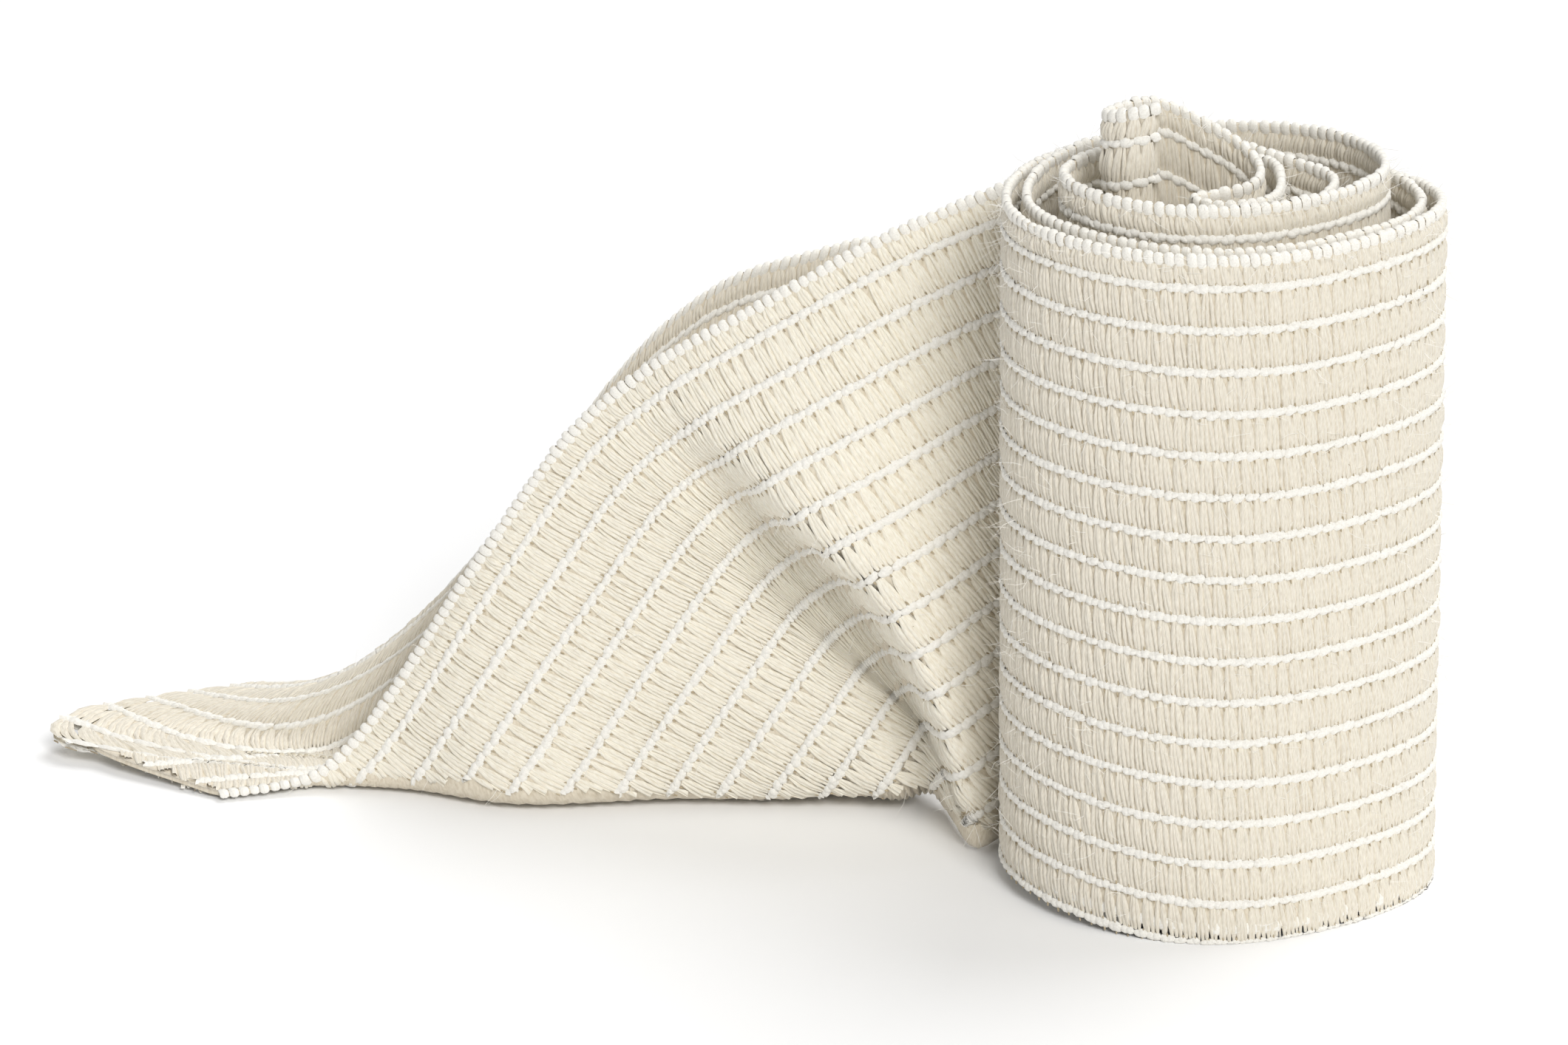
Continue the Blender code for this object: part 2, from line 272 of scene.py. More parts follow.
def fine_tail():
    """Sections across the loose end, and how much of each is its near wall."""
    table = np.array(TAIL)
    middles = (table[:, :3] + table[:, 5:8]) / 2
    places = lengths_along(middles)
    wanted = np.linspace(0.0, places[-1], round(places[-1] / FINE_STEP))
    sections = [tail_section(row) for row in spline(places, table, wanted)]
    grid = np.array([points for points, _ in sections])
    grid = blurred(grid, ROUNDING)
    grid = blurred(grid.swapaxes(0, 1), ROUNDING).swapaxes(0, 1)
    grid[:, :, 2] = np.maximum(grid[:, :, 2], ON_FLOOR)
    return grid, np.array([split for _, split in sections])


def normals_of(grid):
    """Unit normals of a grid of points."""
    along = np.gradient(grid, axis=0)
    across = np.gradient(grid, axis=1)
    normal = np.cross(across, along)
    return normal / np.linalg.norm(normal, axis=2)[:, :, None]


# The cloth under the stitches
CLOTH_HALF = 0.28
CLOTH_STEP = 1.5
CLOTH_BANDS = 80
LOWEST = 0.02

# Rows and stitches. The rows run along the strip, and the strands of a stitch go from row to row.
STITCH = 1.45
ROWS = 16
ROW_PITCH = 4.87
FIRST_ROW = 3.5
MOST_ROWS = 40
ROW_GAP = 0.40
RIM_INSET = 0.5
YARN_BASE = 0.30
YARN_STATIONS = 4
YARN_PROFILE = (
    # place across the yarn, height there
    (-1.0, 0.0),
    (-0.45, 0.95),
    (0.45, 0.95),
    (1.0, 0.0),
)
STRANDS_PER_STITCH = 3
STRAND_HALF_WIDTH = 0.31
STRAND_HEIGHT = 0.33
GATHERED = 0.55
ROW_HALF_WIDTH = 0.54
ROW_HEIGHT = 0.37
CHAIN_LOBES = (
    # s_from, s_to, t_from, t_to
    (0.0, 1.15, -0.26, 0.20),
    (0.60, 1.60, 0.34, -0.14),
)
PINHOLES = (
    # place along the row, distance from its middle
    (0.72, 0.62),
    (0.60, -0.60),
)
PINHOLE_LENGTH = 0.60
PINHOLE_LEAN = -0.10
PINHOLE_HALF_WIDTH = 0.12
PINHOLE_HEIGHT = 0.16
EDGE_STITCH = 1.15
EDGE_BAND_TOP = 0.9
LOOP_CENTRE = 0.5
LOOP = (
    # distance from the edge, height off the middle of the cloth, place along the edge
    (1.15, 0.32, -0.16),
    (0.70, 0.52, -0.10),
    (0.10, 0.52, -0.05),
    (-0.30, 0.34, -0.02),
    (-0.40, 0.0, 0.0),
    (-0.30, -0.34, 0.02),
    (0.10, -0.52, 0.05),
    (0.70, -0.52, 0.10),
    (1.15, -0.32, 0.16),
)
LOOP_LANES = (
    # place across the loop, size there
    (-0.52, 0.66),
    (-0.24, 0.96),
    (0.24, 0.96),
    (0.52, 0.66),
)

# How far yarns stray from their places, in millimetres, and how much their sizes vary
STRAND_STRAYS = 0.04
STRAND_LEANS = 0.10
STRAND_ENDS_STRAY = 0.08
STRAND_FAN_STRAYS = 0.05
STRAND_HEIGHT_VARIES = 0.20
YARN_WIDTH_VARIES = 0.12
ROW_STRAYS_ALONG = 0.07
ROW_STRAYS_ASIDE = 0.06
PINHOLE_STRAYS_ALONG = 0.08
PINHOLE_STRAYS_ASIDE = 0.06
PINHOLE_SIZES = (0.5, 1.1)
LOOP_STRAYS = 0.05
LOOP_VARIES = 0.07

# Shape of a yarn towards its ends, as parts of its full width and height
OPEN_BY = 0.6
STRAND_TIP = (0.55, 0.15)
ROW_TIP = (0.40, 0.35)
PINHOLE_SHAPE = (0.4, 1.0, 0.4)

# Where the stitches lie. OUT is the face of the cloth that is outermost on the roll.
OUT = 1.0
OUTER_TURN = 150.0
INNER_DEPTH = 19.0
ROLL_SLANT = -0.40
TAIL_SLANT = -0.30

# How the rows of the loose end are read, and how they meet those of the roll
ROWS_SETTLE = 40.0
BEFORE_START = 1.45
BEYOND_END = 40.0
END_SECTIONS = 6
FOLD_OVERLAP = 3.2
SHORTEST_FAR = 8
SHORTEST_LEVEL = 5
PAST_CUT = 3
NOT_PAST = 0.01

# Loose fibres and seed flecks
FIBRE_LENGTH = (1.0, 3.0)
FIBRE_HALF_WIDTH = 0.024
FIBRE_POINTS = 6
FIBRE_ROOT = 0.5
FIBRE_OUTSIDE = 1.5
FIBRE_LEAN = 0.8
FIBRE_STANDS = (0.2, 1.0)
FIBRE_CURL = 0.5
FIBRE_CURL_REACH = 0.35
FIBRE_TIP = 0.4
FIBRES_ON_ROLL = 4500
FIBRES_ON_WALL = 1500
FIBRES_ON_RIM = 1200
RIM_DEPTH = 2.0
FLECKS_ON_ROLL = 40
FLECKS_ON_WALL = 24
FLECK_LENGTH = (0.3, 0.6)

CAMERA_AT = np.array((-53.7, -930.0, 409.2))
CAMERA_DOWN = 21.65
CAMERA_RIGHT = 0.4
CAMERA_ROLL = -0.44
LENS = 208.8

FLOOR_REACH = 6.0
FLOOR_WHITE = (0.97, 0.97, 0.97, 1.0)
SURROUND = 0.38
SUNS = (
    # name, where it stands, strength, spread in degrees
    ("key", (0.35, 0.30, 0.88), 1.3, 35.0),
    ("front", (0.25, -0.72, 0.64), 1.75, 24.0),
)


class Patch:
    """A sheet of cloth read by s, the length along its selvedge, and t, the distance from it."""

    def __init__(self, points, s_step, t_step, flip=1.0):
        self.points = points
        self.s_step = s_step
        self.t_step = t_step
        across = np.gradient(points, axis=1)
        along = np.gradient(points, axis=0)
        normal = np.cross(across, along)
        length = np.maximum(np.linalg.norm(normal, axis=2), 1e-9)
        self.normals = flip * normal / length[:, :, None]

    def place(self, s, t, h):
        """Points at s and t, raised h off the middle of the cloth. Off the patch they are NaN."""
        u = s / self.s_step
        v = t / self.t_step
        rows, columns = self.points.shape[:2]
        off = (u < -BEFORE_START / self.s_step) | (u > rows - 1) | (v < -1) | (v > columns)
        i = np.clip(np.floor(u), 0, rows - 2).astype(int)
        j = np.clip(np.floor(v), 0, columns - 2).astype(int)
        u = u - i
        v = v - j
        corners = (
            (i, j, (1 - u) * (1 - v)),
            (i + 1, j, u * (1 - v)),
            (i, j + 1, (1 - u) * v),
            (i + 1, j + 1, u * v),
        )
        place = sum(self.points[a, b] * weight[..., None] for a, b, weight in corners)
        normal = sum(self.normals[a, b] * weight[..., None] for a, b, weight in corners)
        place = place + normal * h[..., None]
        place[off] = np.nan
        place[..., 2] = np.maximum(place[..., 2], LOWEST)
        return place


def roll_patch(meets_tail=False):
    """The wound part as one patch, from behind the roll inwards, measured from its upper selvedge.

    Where meets_tail is true the rows start at the same heights as those of the loose end and
    settle into the roll's own spacing around its back.
    """
    knots = roll_knots()
    places = lengths_along(knots[:, :2])
    s_step = STITCH / 2
    wanted = np.arange(0.0, places[-1], s_step)
    path = spline(places, knots, wanted)
    levels = np.linspace(0.0, 1.0, ROWS + 1)
    sections = []
    for along, (x, y, rim, foot) in zip(wanted, path):
        top = rim - RIM_INSET
        bottom = max(0.0, foot) + RIM_INSET
        if meets_tail:
            unsettled = 1.0 - smoothstep(along / ROWS_SETTLE)
            top += (rim - top) * unsettled
            bottom += (rim - WIDTH - bottom) * unsettled
        height = top + (bottom - top) * levels
        column = np.stack([np.full(len(levels), x), np.full(len(levels), y), height], axis=1)
        sections.append(column)
    return Patch(np.array(sections), s_step, WIDTH / ROWS, -1.0), wanted[-1]


def distances_from(rim, points):
    """Distance of each point from a rim, and the length along the rim at its nearest place."""
    along = lengths_along(rim)
    start = rim[:-1]
    step = np.diff(rim, axis=0)
    length = np.maximum((step**2).sum(axis=1), 1e-9)
    best = np.full(len(points), np.inf)
    place = np.zeros(len(points))
    for i in range(len(step)):
        offset = points - start[i]
        part = np.clip(offset @ step[i] / length[i], 0.0, 1.0)
        distance = np.linalg.norm(offset - part[:, None] * step[i], axis=1)
        nearer = distance < best
        best[nearer] = distance[nearer]
        place[nearer] = along[i] + part[nearer] * np.sqrt(length[i])
    return best, place


def rim_patch(sections, levels_step, flip, square):
    """One wall of the loose end read from its own selvedge, which is the first point of each section.

    Where square is true t is the shortest distance from the selvedge, and otherwise the distance
    along the section.
    """
    rim = np.array([section[0] for section in sections])
    onward = rim[-1] - rim[-END_SECTIONS]
    beyond = rim[-1] + BEYOND_END * onward / np.linalg.norm(onward)
    flat = np.concatenate(sections)
    if square:
        t_all, s_all = distances_from(np.concatenate([rim, [beyond]]), flat)
    else:
        t_all = np.concatenate([lengths_along(section) for section in sections])
        s_all = np.repeat(lengths_along(rim), [len(section) for section in sections])
    ends = np.cumsum([len(section) for section in sections])[:-1]
    t_split = np.split(t_all, ends)
    s_split = np.split(s_all, ends)
    farthest = max(t.max() for t in t_split)
    levels = np.arange(0.0, farthest, levels_step)
    length = s_all.max() + PAST_CUT * STITCH / 2
    s_wanted = np.arange(0.0, length, STITCH / 2)
    grid = np.full((len(s_wanted), len(levels), 3), np.nan)
    for m, level in enumerate(levels):
        places = []
        points = []
        for section, t, s in zip(sections, t_split, s_split):
            t = np.maximum.accumulate(t) + 1e-6 * np.arange(len(t))
            if level > t[-1]:
                continue
            points.append([np.interp(level, t, column) for column in section.T])
            places.append(np.interp(level, t, s))
        if len(places) < SHORTEST_LEVEL:
            continue
        order = np.argsort(places)
        places = np.array(places)[order]
        points = np.array(points)[order]
        past = PAST_CUT * STITCH / 2 if level <= t_split[-1].max() else NOT_PAST
        onwards = (points[-1] - points[-4]) / max(places[-1] - places[-4], 1.0)
        points = np.concatenate([points, [points[-1] + onwards * past]])
        places = np.append(places, places[-1] + past)
        if square:
            backwards = (points[0] - points[3]) / max(places[3] - places[0], 1.0)
            points = np.concatenate([[points[0] + backwards * BEFORE_START], points])
            places = np.append(places[0] - BEFORE_START, places)
        inside = (s_wanted >= places[0]) & (s_wanted <= places[-1])
        read = [np.interp(s_wanted[inside], places, column) for column in points.T]
        grid[inside, m] = np.stack(read, axis=1)
    return Patch(grid, STITCH / 2, levels_step, flip)


def tail_patches():
    """The two walls of the loose end: the near one read from its rim, and the far one from its own."""
    grid, split = fine_tail()
    near = []
    far = []
    for section, part in zip(grid, split):
        fold = int(round(part * (len(section) - 1)))
        spacing = lengths_along(section)[-1] / (len(section) - 1)
        more = round(FOLD_OVERLAP / spacing)
        near.append(section[: fold + more])
        if len(section) - fold > SHORTEST_FAR:
            far.append(section[fold - more :][::-1])
    return rim_patch(near, ROW_PITCH / 4, -1.0, True), rim_patch(far, ROW_PITCH / 4, 1.0, False)


def mesh_object(name, points, faces, coordinates, material):
    """A mesh from arrays, in the frame's place, with s and t in its UV map."""
    mesh = bpy.data.meshes.new(name)
    points = (points - SHIFT) * MILLIMETRE
    faces = np.asarray(faces)
    size = faces.shape[1]
    mesh.vertices.add(len(points))
    mesh.vertices.foreach_set("co", points.astype(np.float32).ravel())
    mesh.loops.add(faces.size)
    mesh.loops.foreach_set("vertex_index", faces.astype(np.int32).ravel())
    mesh.polygons.add(len(faces))
    mesh.polygons.foreach_set("loop_start", np.arange(0, faces.size, size, dtype=np.int32))
    mesh.update(calc_edges=True)
    layer = mesh.uv_layers.new(name="UVMap")
    layer.data.foreach_set("uv", coordinates[faces.ravel()].astype(np.float32).ravel())
    mesh.validate()
    mesh.shade_smooth()
    mesh.materials.append(material)
    obj = bpy.data.objects.new(name, mesh)
    bpy.context.scene.collection.objects.link(obj)
    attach(obj, "root")
    return obj


def ribbons(patch, side, s, t, half, h):
    """Raised yarns on a patch. s, t, half and h hold one row for each yarn and one column a station."""
    turn_s = np.gradient(s, axis=1)
    turn_t = np.gradient(t, axis=1)
    length = np.maximum(np.hypot(turn_s, turn_t), 1e-6)
    across_s = -turn_t / length
    across_t = turn_s / length
    points = []
    places = []
    for out, up in YARN_PROFILE:
        ps = s + across_s * half * out
        pt = t + across_t * half * out
        ph = side * (YARN_BASE + h * up)
        points.append(patch.place(ps, pt, ph))
        places.append(np.stack([ps, pt], axis=-1))
    points = np.stack(points, axis=2)
    places = np.stack(places, axis=2)
    count, stations, width = points.shape[:3]
    first = np.arange(count)[:, None, None] * stations * width
    step = np.arange(stations - 1)[None, :, None] * width
    lane = np.arange(width - 1)[None, None, :]
    corner = (first + step + lane).ravel()
    faces = np.stack([corner, corner + 1, corner + width + 1, corner + width], axis=1)
    if side > 0:
        faces = faces[:, ::-1]
    return on_cloth(points.reshape(-1, 3), faces, places.reshape(-1, 2))


def on_cloth(points, faces, places):
    """The faces whose corners all lie on their patch, and the points that they use."""
    here = ~np.isnan(points).any(axis=1)
    faces = faces[here[faces].all(axis=1)]
    used = np.unique(faces)
    renumbered = np.zeros(len(points), int)
    renumbered[used] = np.arange(len(used))
    return points[used], renumbered[faces], places[used]


def joined(parts):
    """Several (points, faces, coordinates) as one."""
    points = []
    faces = []
    places = []
    count = 0
    for part_points, part_faces, part_places in parts:
        points.append(part_points)
        faces.append(part_faces + count)
        places.append(part_places)
        count += len(part_points)
    return np.concatenate(points), np.concatenate(faces), np.concatenate(places)


def taper(ends, count):
    """A rise and fall over count stations, from ends to 1 and back."""
    place = np.linspace(-1.0, 1.0, count)
    return ends + (1.0 - ends) * (1.0 - np.abs(place) ** 3)


def strands(patch, side, reach, bands, slant):
    """Cotton yarns across the strip, gathered in threes at the row above and open at the next."""
    parts = []
    stitch = np.arange(reach[0], reach[1], STITCH)
    aside = (np.arange(STRANDS_PER_STITCH) - 1.0) * STITCH / STRANDS_PER_STITCH
    middles = np.repeat(stitch, STRANDS_PER_STITCH)
    spread = np.tile(aside, len(stitch))
    count = len(middles)
    stations = YARN_STATIONS
    place = np.linspace(0.0, 1.0, stations)
    opened = GATHERED + (1.0 - GATHERED) * np.minimum(1.0, place / OPEN_BY)
    for top, bottom in bands:
        middle = middles + RANDOM.normal(0.0, STRAND_STRAYS, count)
        lean = slant + np.repeat(RANDOM.normal(0.0, STRAND_LEANS, len(stitch)), STRANDS_PER_STITCH)
        start = top + RANDOM.normal(0.0, STRAND_ENDS_STRAY, count)
        end = bottom + RANDOM.normal(0.0, STRAND_ENDS_STRAY, count)
        fan = (spread + RANDOM.normal(0.0, STRAND_FAN_STRAYS, count))[:, None] * opened
        s = middle[:, None] + fan + lean[:, None] * (place - 0.5)
        t = start[:, None] + (end - start)[:, None] * place
        wide = STRAND_HALF_WIDTH * RANDOM.normal(1.0, YARN_WIDTH_VARIES, count)
        high = STRAND_HEIGHT * RANDOM.normal(1.0, STRAND_HEIGHT_VARIES, count)
        half = wide[:, None] * taper(STRAND_TIP[0], stations)
        h = high[:, None] * taper(STRAND_TIP[1], stations)
        parts.append(ribbons(patch, side, s, t, half, h))
    return joined(parts)


def chain_rows(patch, side, reach, levels):
    """White chain stitches along the strip: two crossed lobes to a stitch."""
    parts = []
    first = np.arange(reach[0], reach[1], STITCH)
    count = len(first)
    stations = YARN_STATIONS
    place = np.linspace(0.0, 1.0, stations)
    for level in levels:
        for s_from, s_to, t_from, t_to in CHAIN_LOBES:
            s0 = first + s_from + RANDOM.normal(0.0, ROW_STRAYS_ALONG, count)
            s1 = first + s_to + RANDOM.normal(0.0, ROW_STRAYS_ALONG, count)
            t0 = level + t_from + RANDOM.normal(0.0, ROW_STRAYS_ASIDE, count)
            t1 = level + t_to + RANDOM.normal(0.0, ROW_STRAYS_ASIDE, count)
            s = s0[:, None] + (s1 - s0)[:, None] * place
            t = t0[:, None] + (t1 - t0)[:, None] * place
            wide = ROW_HALF_WIDTH * RANDOM.normal(1.0, YARN_WIDTH_VARIES, count)
            high = ROW_HEIGHT * RANDOM.normal(1.0, YARN_WIDTH_VARIES, count)
            half = wide[:, None] * taper(ROW_TIP[0], stations)
            h = high[:, None] * taper(ROW_TIP[1], stations)
            parts.append(ribbons(patch, side, s, t, half, h))
    return joined(parts)


def painted_pinhole_shade(patch, side, reach, levels):
    """Small dark marks: painted shade in the openings above and below each row."""
    parts = []
    first = np.arange(reach[0], reach[1], STITCH)
    count = len(first)
    place = np.linspace(-0.5, 0.5, len(PINHOLE_SHAPE))
    for level in levels:
        for aside, away in PINHOLES:
            middle = first + aside + RANDOM.normal(0.0, PINHOLE_STRAYS_ALONG, count)
            distance = level + away + RANDOM.normal(0.0, PINHOLE_STRAYS_ASIDE, count)
            size = RANDOM.uniform(*PINHOLE_SIZES, count)[:, None]
            s = middle[:, None] + PINHOLE_LEAN * place
            t = distance[:, None] + PINHOLE_LENGTH * size * place
            half = PINHOLE_HALF_WIDTH * size * np.array(PINHOLE_SHAPE)
            h = np.full_like(s, PINHOLE_HEIGHT)
            parts.append(ribbons(patch, side, s, t, half, h))
    return joined(parts)


def selvedge(patch, length, far_edge=None):
    """Overcast loops that wrap the edge of the cloth, one to a stitch."""
    count = int(length / EDGE_STITCH)
    middle = (np.arange(count) + 0.5) * EDGE_STITCH + RANDOM.normal(0.0, LOOP_STRAYS, count)
    size = RANDOM.normal(1.0, LOOP_VARIES, count)[:, None, None]
    loop = np.array(LOOP)
    lanes = np.array(LOOP_LANES)
    slant = loop[:, 2]
    s = middle[:, None, None] + slant[None, :, None] + lanes[None, None, :, 0]
    t = LOOP_CENTRE + (loop[:, 0] - LOOP_CENTRE)[None, :, None] * lanes[None, None, :, 1] * size
    h = loop[:, 1][None, :, None] * lanes[None, None, :, 1] * size
    if far_edge is not None:
        t = far_edge - t
    s, t, h = np.broadcast_arrays(s, t, h)
    points = patch.place(s, t, h)
    whole = ~np.isnan(points).any(axis=(1, 2, 3))
    points = points[whole]
    places = np.stack([t, s], axis=-1)[whole]
    count, stations, width = points.shape[:3]
    first = np.arange(count)[:, None, None] * stations * width
    step = np.arange(stations - 1)[None, :, None] * width
    lane = np.arange(width - 1)[None, None, :]
    corner = (first + step + lane).ravel()
    faces = np.stack([corner, corner + width, corner + width + 1, corner + 1], axis=1)
    if far_edge is not None:
        faces = faces[:, ::-1]
    return points.reshape(-1, 3), faces, places.reshape(-1, 2)


def fuzz(patch, side, length, deep, count, reaches):
    """Loose fibres that stand off the cloth."""
    s = RANDOM.uniform(0.0, length, count)
    t = RANDOM.uniform(0.0, deep, count)
    root = patch.place(s, t, np.full(count, side * FIBRE_ROOT))
    out = patch.place(s, t, np.full(count, side * FIBRE_OUTSIDE)) - root
    lean = RANDOM.normal(0.0, FIBRE_LEAN, (count, 3))
    reach = RANDOM.uniform(*reaches, count)[:, None]
    aim = out * RANDOM.uniform(*FIBRE_STANDS, count)[:, None] + lean
    aim /= np.linalg.norm(aim, axis=1)[:, None]
    curl = RANDOM.normal(0.0, FIBRE_CURL, (count, 3))
    wide = np.cross(aim, RANDOM.normal(0.0, 1.0, (count, 3)))
    wide *= FIBRE_HALF_WIDTH / np.linalg.norm(wide, axis=1)[:, None]
    middle = root + aim * reach * 0.5
    tip = root + aim * reach + curl * reach * FIBRE_CURL_REACH
    narrow = FIBRE_TIP * wide
    sides = [root - wide, root + wide, middle - wide, middle + wide, tip - narrow, tip + narrow]
    points = np.stack(sides, axis=1)
    points[:, :, 2] = np.maximum(points[:, :, 2], LOWEST)
    whole = ~np.isnan(points).any(axis=(1, 2))
    points = points[whole]
    places = np.repeat(np.stack([s, t], axis=1)[whole][:, None], FIBRE_POINTS, axis=1)
    first = np.arange(len(points))[:, None] * FIBRE_POINTS
    faces = np.concatenate([first + [0, 1, 3, 2], first + [2, 3, 5, 4]])
    return points.reshape(-1, 3), faces, places.reshape(-1, 2)


def cloth():
    """The cloth under the stitches: one closed sheet from the inner end to the cut end."""
    patch, length = roll_patch()
    s = np.arange(0.0, length, CLOTH_STEP)[::-1]
    t = np.linspace(0.0, WIDTH, CLOTH_BANDS + 1)
    s_grid, t_grid = np.meshgrid(s, t, indexing="ij")
    wound = patch.place(s_grid, t_grid, np.zeros_like(s_grid))
    fine, _ = fine_tail()
    kept = list(range(1, len(fine) - 1, 2)) + [len(fine) - 1]
    loose = np.array([evenly(fine[i], CLOTH_BANDS + 1) for i in kept])
    grid = np.concatenate([wound, loose])
    normal = normals_of(grid)
    rows, columns = grid.shape[:2]
    outer = grid + normal * CLOTH_HALF
    inner = grid - normal * CLOTH_HALF
    points = np.concatenate([outer.reshape(-1, 3), inner.reshape(-1, 3)])
    points[:, 2] = np.maximum(points[:, 2], LOWEST)
    i, j = np.meshgrid(np.arange(rows - 1), np.arange(columns - 1), indexing="ij")
    a = (i * columns + j).ravel()
    under = rows * columns
    outer_faces = np.stack([a, a + 1, a + columns + 1, a + columns], axis=1)
    inner_faces = np.stack([a, a + columns, a + columns + 1, a + 1], axis=1) + under
    edge = []
    for j_edge, turned in ((0, False), (columns - 1, True)):
        b = np.arange(rows - 1) * columns + j_edge
        face = np.stack([b, b + columns, b + columns + under, b + under], axis=1)
        edge.append(face[:, ::-1] if turned else face)
    for i_edge, turned in ((0, True), (rows - 1, False)):
        b = i_edge * columns + np.arange(columns - 1)
        face = np.stack([b, b + 1, b + 1 + under, b + under], axis=1)
        edge.append(face if turned else face[:, ::-1])
    faces = np.concatenate([outer_faces, inner_faces] + edge)
    along = lengths_along(grid[:, columns // 2])
    places = np.stack(np.meshgrid(along, t, indexing="ij"), axis=-1).reshape(-1, 2)
    obj = mesh_object("cloth", points, faces, np.concatenate([places, places]), GROUND_WITH_PAINTED_SHADE)
    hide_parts("bandage")
    return obj


def yarn_material(name, dark, light, fibre_scale, bump):
    """Matte yarn with fine fibres along it."""
    material = bpy.data.materials.new(name)
    material.use_nodes = True
    nodes = material.node_tree.nodes
    links = material.node_tree.links
    shader = nodes["Principled BSDF"]
    shader.inputs["Roughness"].default_value = 0.95
    shader.inputs["Specular IOR Level"].default_value = 0.12
    shader.inputs["Sheen Weight"].default_value = 0.25
    shader.inputs["Sheen Roughness"].default_value = 0.6
    place = nodes.new("ShaderNodeUVMap")
    place.uv_map = "UVMap"
    stretch = nodes.new("ShaderNodeMapping")
    stretch.inputs["Scale"].default_value = (*fibre_scale, 1.0)
    fibres = nodes.new("ShaderNodeTexNoise")
    fibres.inputs["Scale"].default_value = 1.0
    fibres.inputs["Detail"].default_value = 4.0
    ramp = nodes.new("ShaderNodeValToRGB")
    ramp.color_ramp.elements[0].position = 0.30
    ramp.color_ramp.elements[1].position = 0.62
    ramp.color_ramp.elements[0].color = (*dark, 1.0)
    ramp.color_ramp.elements[1].color = (*light, 1.0)
    relief = nodes.new("ShaderNodeBump")
    relief.inputs["Strength"].default_value = bump
    relief.inputs["Distance"].default_value = 0.0001
    links.new(place.outputs["UV"], stretch.inputs["Vector"])
    links.new(stretch.outputs["Vector"], fibres.inputs["Vector"])
    links.new(fibres.outputs["Fac"], ramp.inputs["Fac"])
    links.new(ramp.outputs["Color"], shader.inputs["Base Color"])
    links.new(fibres.outputs["Fac"], relief.inputs["Height"])
    links.new(relief.outputs["Normal"], shader.inputs["Normal"])
    return material


def levels_between(low, high):
    """The rows' distances from a selvedge that lie between low and high."""
    levels = FIRST_ROW + ROW_PITCH * np.arange(MOST_ROWS)
    return levels[(levels >= low) & (levels <= high)]


def bands_between(low, high):
    """From row to row, with the edge band beside the selvedge first."""
    levels = levels_between(low, high)
    first = [(EDGE_BAND_TOP, FIRST_ROW - ROW_GAP)]
    return first + [(a + ROW_GAP, b - ROW_GAP) for a, b in zip(levels, levels[1:])]


def knit_piece(name, patch, side, reach, deep, slant, yarn, pierced=False):
    """The stitches of one face: its cream strands and its white rows."""
    bands = bands_between(0.0, deep)
    mesh_object(name + "_strands", *strands(patch, side, reach, bands, slant), yarn)
    levels = levels_between(0.0, deep)
    mesh_object(name + "_rows", *chain_rows(patch, side, reach, levels), WHITE_YARN)
    if pierced:
        mesh_object(name + "_pinholes", *painted_pinhole_shade(patch, side, reach, levels), PINHOLE_SHADE)


def camera():
    data = bpy.data.cameras.new("camera")
    data.sensor_width = 36.0
    data.lens = LENS
    data.clip_end = 20.0
    obj = bpy.data.objects.new("camera", data)
    turn = Matrix.Rotation(-np.radians(CAMERA_RIGHT), 4, "Z")
    tilt = Matrix.Rotation(np.radians(90.0 - CAMERA_DOWN), 4, "X")
    roll = Matrix.Rotation(np.radians(CAMERA_ROLL), 4, "Z")
    place = Matrix.Translation(Vector((CAMERA_AT - SHIFT) * MILLIMETRE))
    obj.matrix_world = place @ turn @ tilt @ roll
    bpy.context.scene.collection.objects.link(obj)
    bpy.context.scene.camera = obj


def sun(name, towards, strength, spread):
    """Even light from one side, with soft shadows."""
    data = bpy.data.lights.new(name, "SUN")
    data.energy = strength
    data.angle = np.radians(spread)
    obj = bpy.data.objects.new(name, data)
    obj.rotation_euler = (-Vector(towards)).to_track_quat("-Z", "Y").to_euler()
    bpy.context.scene.collection.objects.link(obj)


def studio():
    """A pale floor that runs out into a white surround, and soft light from the upper right."""
    world = bpy.data.worlds.new("surround")
    world.use_nodes = True
    world.node_tree.nodes["Background"].inputs["Color"].default_value = (1.0, 1.0, 1.0, 1.0)
    world.node_tree.nodes["Background"].inputs["Strength"].default_value = SURROUND
    bpy.context.scene.world = world
    material = bpy.data.materials.new("floor")
    material.use_nodes = True
    shader = material.node_tree.nodes["Principled BSDF"]
    shader.inputs["Base Color"].default_value = FLOOR_WHITE
    shader.inputs["Roughness"].default_value = 0.9
    mesh = bpy.data.meshes.new("floor")
    corners = [(x * FLOOR_REACH, y * FLOOR_REACH, 0.0) for x, y in ((-1, -1), (1, -1), (1, 1), (-1, 1))]
    mesh.from_pydata(corners, [], [(0, 1, 2, 3)])
    mesh.materials.append(material)
    floor = bpy.data.objects.new("floor", mesh)
    bpy.context.scene.collection.objects.link(floor)
    for name, towards, strength, spread in SUNS:
        sun(name, towards, strength, spread)
    scene = bpy.context.scene
    scene.view_settings.view_transform = "Standard"
    scene.view_settings.look = "None"
    scene.view_settings.exposure = 0.0


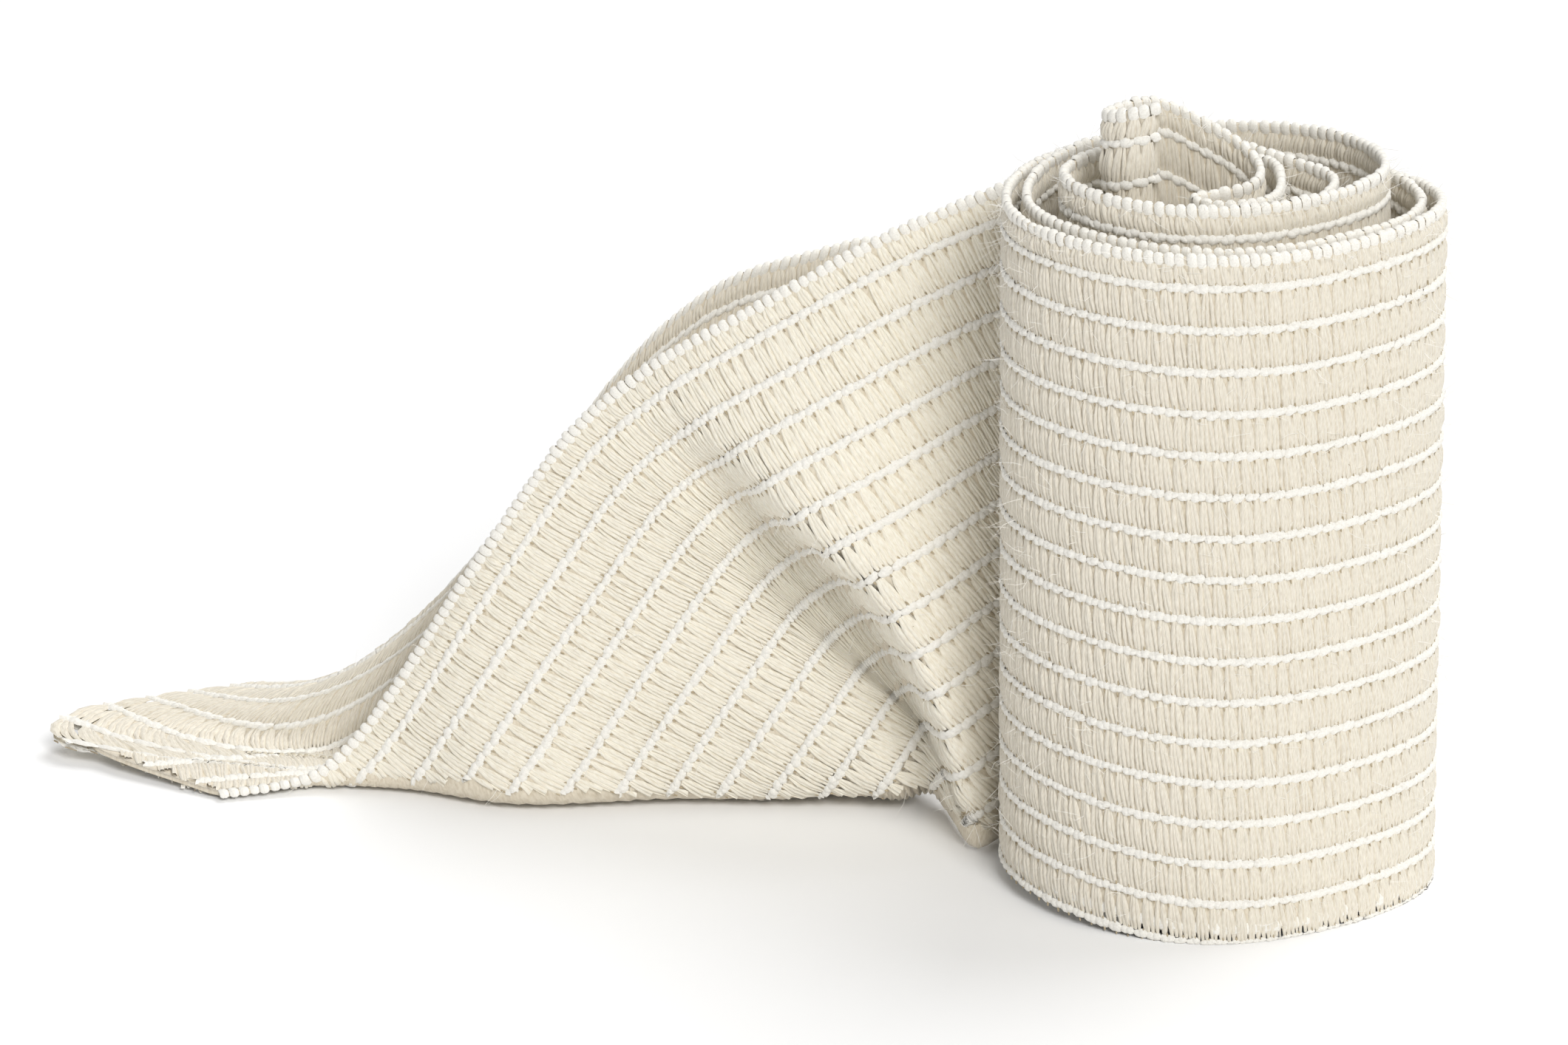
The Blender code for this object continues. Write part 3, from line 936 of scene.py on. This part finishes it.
def bandage():
    cloth()
    roll, roll_length = roll_patch()
    rows, _ = roll_patch(meets_tail=True)
    near, far = tail_patches()
    near_length = (near.points.shape[0] - 1) * near.s_step
    far_length = (far.points.shape[0] - 1) * far.s_step
    inner_edge = FIRST_ROW + ROW_PITCH * ROWS
    loose = (STITCH, near_length)
    back = (0.0, far_length)
    knit_piece("roll_face", rows, OUT, (0.0, OUTER_TURN), inner_edge, ROLL_SLANT, CREAM_YARN, True)
    knit_piece("inner_turns", rows, OUT, (OUTER_TURN, roll_length), INNER_DEPTH, ROLL_SLANT, CREAM_YARN)
    knit_piece("inside_turns", rows, -OUT, (0.0, roll_length), INNER_DEPTH, ROLL_SLANT, CREAM_YARN)
    knit_piece("tail_front", near, OUT, loose, inner_edge, TAIL_SLANT, PAINTED_LIT_YARN, True)
    knit_piece("tail_front_inside", near, -OUT, loose, inner_edge, TAIL_SLANT, CREAM_YARN)
    knit_piece("tail_back", far, OUT, back, inner_edge, TAIL_SLANT, PAINTED_LIT_YARN, True)
    knit_piece("tail_back_inside", far, -OUT, back, inner_edge, TAIL_SLANT, CREAM_YARN)
    edges = [
        selvedge(roll, roll_length),
        selvedge(roll, roll_length, WIDTH),
        selvedge(near, near_length),
        selvedge(far, far_length),
    ]
    mesh_object("selvedge_loops", *joined(edges), WHITE_YARN)
    fibres = [
        fuzz(roll, OUT, OUTER_TURN, WIDTH, FIBRES_ON_ROLL, FIBRE_LENGTH),
        fuzz(near, OUT, near_length, WIDTH, FIBRES_ON_WALL, FIBRE_LENGTH),
        fuzz(far, OUT, far_length, WIDTH, FIBRES_ON_WALL, FIBRE_LENGTH),
        fuzz(roll, OUT, roll_length, RIM_DEPTH, FIBRES_ON_RIM, FIBRE_LENGTH),
    ]
    mesh_object("fuzz", *joined(fibres), FUZZ)
    specks = [
        fuzz(roll, OUT, OUTER_TURN, WIDTH, FLECKS_ON_ROLL, FLECK_LENGTH),
        fuzz(near, OUT, near_length, WIDTH, FLECKS_ON_WALL, FLECK_LENGTH),
    ]
    mesh_object("flecks", *joined(specks), FLECK)


coarse, _ = roll_patch()
BOX_LOW = np.array(CAD_BOX[0]) / MILLIMETRE
BOX_HIGH = np.array(CAD_BOX[1]) / MILLIMETRE
SHIFT = np.array(
    (
        coarse.points[:, :, 0].max() + THICKNESS / 2 - BOX_HIGH[0],
        coarse.points[:, :, 1].min() - THICKNESS / 2 - BOX_LOW[1],
        0.0,
    )
)

CREAM_YARN = yarn_material("cream yarn", (0.68, 0.62, 0.51), (0.84, 0.79, 0.68), (11.0, 1.2), 0.6)
# The same yarn as the cream one, made paler for the outer faces of the loose end: painted light.
PAINTED_LIT_YARN = yarn_material("cream yarn with painted light", (0.79, 0.72, 0.58), (0.92, 0.88, 0.77), (11.0, 1.2), 0.6)
WHITE_YARN = yarn_material("white yarn", (0.81, 0.78, 0.71), (0.92, 0.90, 0.84), (5.0, 5.0), 0.6)
# The cloth seen between the strands, tan and darker than the yarn: painted shade in the gaps between
# the stitches.
GROUND_WITH_PAINTED_SHADE = yarn_material("ground cloth with painted shade", (0.62, 0.54, 0.41), (0.77, 0.70, 0.57), (3.0, 1.2), 0.5)
# Dark brown: painted shade in the openings beside the rows.
PINHOLE_SHADE = yarn_material("painted_pinhole_shade", (0.34, 0.27, 0.17), (0.52, 0.44, 0.30), (2.0, 2.0), 0.0)
FLECK = yarn_material("seed flecks", (0.22, 0.14, 0.06), (0.38, 0.27, 0.14), (1.0, 1.0), 0.0)
FUZZ = yarn_material("loose fibres", (0.85, 0.82, 0.75), (0.92, 0.90, 0.85), (1.0, 1.0), 0.0)

bandage()
camera()
studio()

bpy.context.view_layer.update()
